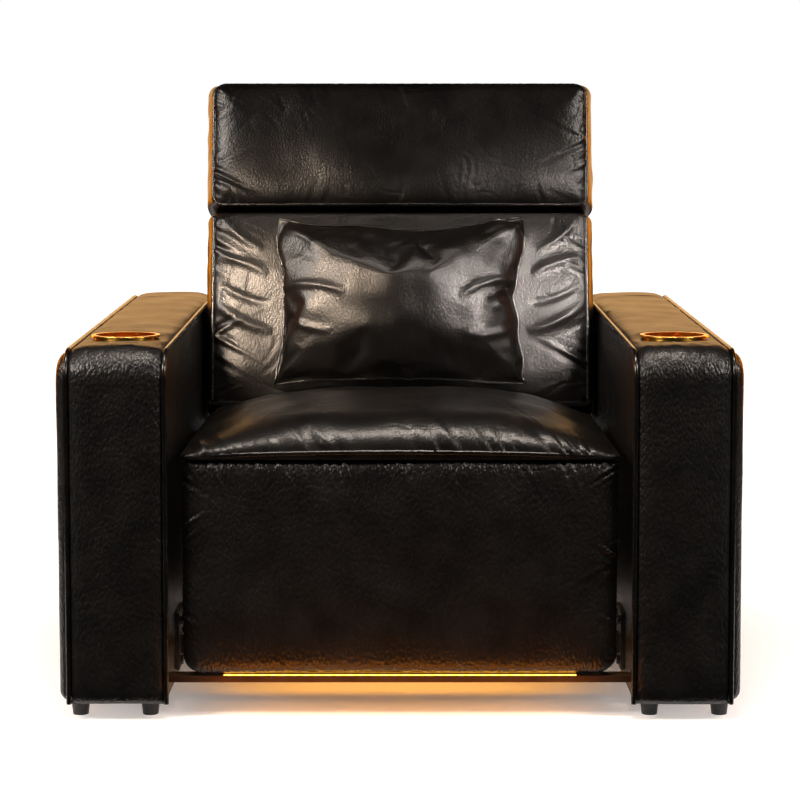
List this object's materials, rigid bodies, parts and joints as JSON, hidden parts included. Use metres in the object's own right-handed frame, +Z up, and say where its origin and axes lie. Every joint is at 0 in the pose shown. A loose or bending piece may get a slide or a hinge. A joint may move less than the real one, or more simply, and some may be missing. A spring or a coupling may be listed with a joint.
{
  "type": "cinema recliner seat",
  "caption": "Powered cinema recliner in black leather with reclining back, tilting headrest, lifting footrest, padded arms with brass cup holders and a loose lumbar pillow.",
  "frame": {"origin": "middle of the footprint, on the floor", "axes": "+Z up, -Y towards the front of the seat, +X to the right as seen from the front"},
  "size_m": [1.049, 0.97, 0.9931],
  "materials": {
    "leather_black": "semi-gloss",
    "welt_black": "gloss",
    "cup_brass": "brushed",
    "glide_plastic": "satin",
    "plywood": "unfinished",
    "frame_steel": "powder coat",
    "link_steel": "zinc plated",
    "spring_steel": "oiled",
    "webbing": "woven",
    "rail_brown": "satin",
    "light_amber": "frosted, lit",
    "housing_plastic": "textured",
    "rod_steel": "polished",
    "key_plastic": "satin"
  },
  "bodies": {
    "base": {"arm_frame_left": "plywood", "arm_pad_left": "leather_black", "arm_panel_outer_left": "leather_black", "arm_panel_inner_left": "leather_black", "arm_piping_outer_left": "welt_black", "arm_piping_inner_left": "welt_black", "cup_liner_left": "cup_brass", "glide_front_inner_left": "glide_plastic", "glide_front_outer_left": "glide_plastic", "glide_rear_inner_left": "glide_plastic", "glide_rear_outer_left": "glide_plastic", "arm_frame_right": "plywood", "arm_pad_right": "leather_black", "arm_panel_outer_right": "leather_black", "arm_panel_inner_right": "leather_black", "arm_piping_outer_right": "welt_black", "arm_piping_inner_right": "welt_black", "cup_liner_right": "cup_brass", "glide_front_inner_right": "glide_plastic", "glide_front_outer_right": "glide_plastic", "glide_rear_inner_right": "glide_plastic", "glide_rear_outer_right": "glide_plastic", "switch_bezel": "housing_plastic", "seat_frame": "frame_steel", "seat_springs": "spring_steel", "seat_cushion": "leather_black", "seat_piping": "welt_black", "front_rail": "rail_brown", "light_diffuser": "light_amber", "power_supply": "housing_plastic", "control_box": "housing_plastic", "power_inlet": "housing_plastic", "rear_cover": "leather_black"},
    "backrest": {"back_frame": "frame_steel", "back_webbing": "webbing", "back_cushion": "leather_black", "back_piping_left": "welt_black", "back_piping_right": "welt_black", "back_rear_shell": "leather_black"},
    "headrest": {"headrest_frame": "frame_steel", "headrest_cushion": "leather_black", "headrest_piping": "welt_black"},
    "footrest_drive_link": {"footrest_drive": "link_steel"},
    "footrest_guide": {"footrest_guide_links": "link_steel"},
    "footrest_front": {"footrest_front_links": "link_steel"},
    "footrest_control": {"footrest_control_links": "link_steel"},
    "footrest_panel": {"footrest_brackets": "link_steel", "footrest_board": "plywood", "footrest_cushion": "leather_black"},
    "footrest_motor": {"footrest_actuator_body": "housing_plastic"},
    "footrest_rod": {"footrest_actuator_rod": "rod_steel"},
    "recline_motor": {"recline_actuator_body": "housing_plastic"},
    "recline_rod": {"recline_actuator_rod": "rod_steel"},
    "headrest_motor": {"headrest_actuator_body": "housing_plastic"},
    "headrest_rod": {"headrest_actuator_rod": "rod_steel"},
    "pillow": {"lumbar_pillow": "leather_black"},
    "key_recline": {"button_recline": "key_plastic"},
    "key_upright": {"button_upright": "key_plastic"},
    "key_head_forward": {"button_head_forward": "key_plastic"},
    "key_head_back": {"button_head_back": "key_plastic"}
  },
  "joints": [
    {"name": "recline", "type": "hinge", "parent": "base", "child": "backrest", "pos_m": [0, 0.165, 0.385], "axis": [-1, 0, 0], "range_deg": [0, 40]},
    {"name": "headrest_tilt", "type": "hinge", "parent": "backrest", "child": "headrest", "pos_m": [0, 0.22887, 0.78937], "axis": [1, 0, 0], "range_deg": [0, 24]},
    {"name": "footrest_lift", "type": "hinge", "parent": "base", "child": "footrest_drive_link", "pos_m": [0, -0.382, 0.29], "axis": [-1, 0, 0], "range_deg": [0, 80]},
    {"name": "footrest_elbow", "type": "hinge", "parent": "footrest_drive_link", "child": "footrest_front", "pos_m": [0, -0.382, 0.09], "axis": [1, 0, 0], "range_deg": [0, 160]},
    {"name": "footrest_guide_elbow", "type": "hinge", "parent": "footrest_drive_link", "child": "footrest_guide", "pos_m": [0, -0.382, 0.145], "axis": [1, 0, 0], "range_deg": [0, 160]},
    {"name": "footrest_panel_pivot", "type": "hinge", "parent": "footrest_front", "child": "footrest_panel", "pos_m": [0, -0.382, 0.29], "axis": [-1, 0, 0], "range_deg": [0, 160]},
    {"name": "footrest_control_pivot", "type": "hinge", "parent": "base", "child": "footrest_control", "pos_m": [0, -0.3097, 0.3699], "axis": [-1, 0, 0], "range_deg": [0, 64.1]},
    {"name": "footrest_motor_swing", "type": "hinge", "parent": "base", "child": "footrest_motor", "pos_m": [0, 0.07, 0.206], "axis": [1, 0, 0], "range_deg": [0, 2.1]},
    {"name": "footrest_rod_travel", "type": "slide", "parent": "footrest_motor", "child": "footrest_rod", "axis": [0, -0.9958, 0.0917], "range_m": [0, 0.077]},
    {"name": "recline_motor_swing", "type": "hinge", "parent": "base", "child": "recline_motor", "pos_m": [0, -0.2, 0.277], "axis": [-1, 0, 0], "range_deg": [0, 0.7]},
    {"name": "recline_rod_travel", "type": "slide", "parent": "recline_motor", "child": "recline_rod", "axis": [0, -0.9999, -0.0115], "range_m": [0, 0.0756]},
    {"name": "headrest_motor_swing", "type": "hinge", "parent": "backrest", "child": "headrest_motor", "pos_m": [0, 0.31579, 0.5702], "axis": [1, 0, 0], "range_deg": [0, 5.2]},
    {"name": "headrest_rod_travel", "type": "slide", "parent": "headrest_motor", "child": "headrest_rod", "axis": [0, 0.2123, 0.9772], "range_m": [0, 0.0526]},
    {"name": "pillow_lift", "type": "slide", "parent": "base", "child": "pillow", "axis": [0, 0, 1], "range_m": [0, 0.06]},
    {"name": "press_recline", "type": "slide", "parent": "base", "child": "key_recline", "axis": [-1, 0, 0], "range_m": [0, 0.0015], "stiffness_N_per_m": 400},
    {"name": "press_upright", "type": "slide", "parent": "base", "child": "key_upright", "axis": [-1, 0, 0], "range_m": [0, 0.0015], "stiffness_N_per_m": 400},
    {"name": "press_head_forward", "type": "slide", "parent": "base", "child": "key_head_forward", "axis": [-1, 0, 0], "range_m": [0, 0.0015], "stiffness_N_per_m": 400},
    {"name": "press_head_back", "type": "slide", "parent": "base", "child": "key_head_back", "axis": [-1, 0, 0], "range_m": [0, 0.0015], "stiffness_N_per_m": 400}
  ],
  "couplings": [
    {"joint": "footrest_elbow", "follows": "footrest_lift", "ratio": 2},
    {"joint": "footrest_guide_elbow", "follows": "footrest_lift", "ratio": 2},
    {"joint": "footrest_panel_pivot", "follows": "footrest_lift", "ratio": 2},
    {"joint": "footrest_control_pivot", "follows": "footrest_lift", "ratio": 0.801},
    {"joint": "footrest_motor_swing", "follows": "footrest_lift", "ratio": 0.025},
    {"joint": "footrest_rod_travel", "follows": "footrest_lift", "m_per_rad": 0.0548},
    {"joint": "recline_motor_swing", "follows": "recline", "ratio": 0.015},
    {"joint": "recline_rod_travel", "follows": "recline", "m_per_rad": 0.1078},
    {"joint": "headrest_motor_swing", "follows": "headrest_tilt", "ratio": 0.2125},
    {"joint": "headrest_rod_travel", "follows": "headrest_tilt", "m_per_rad": 0.1249}
  ]
}
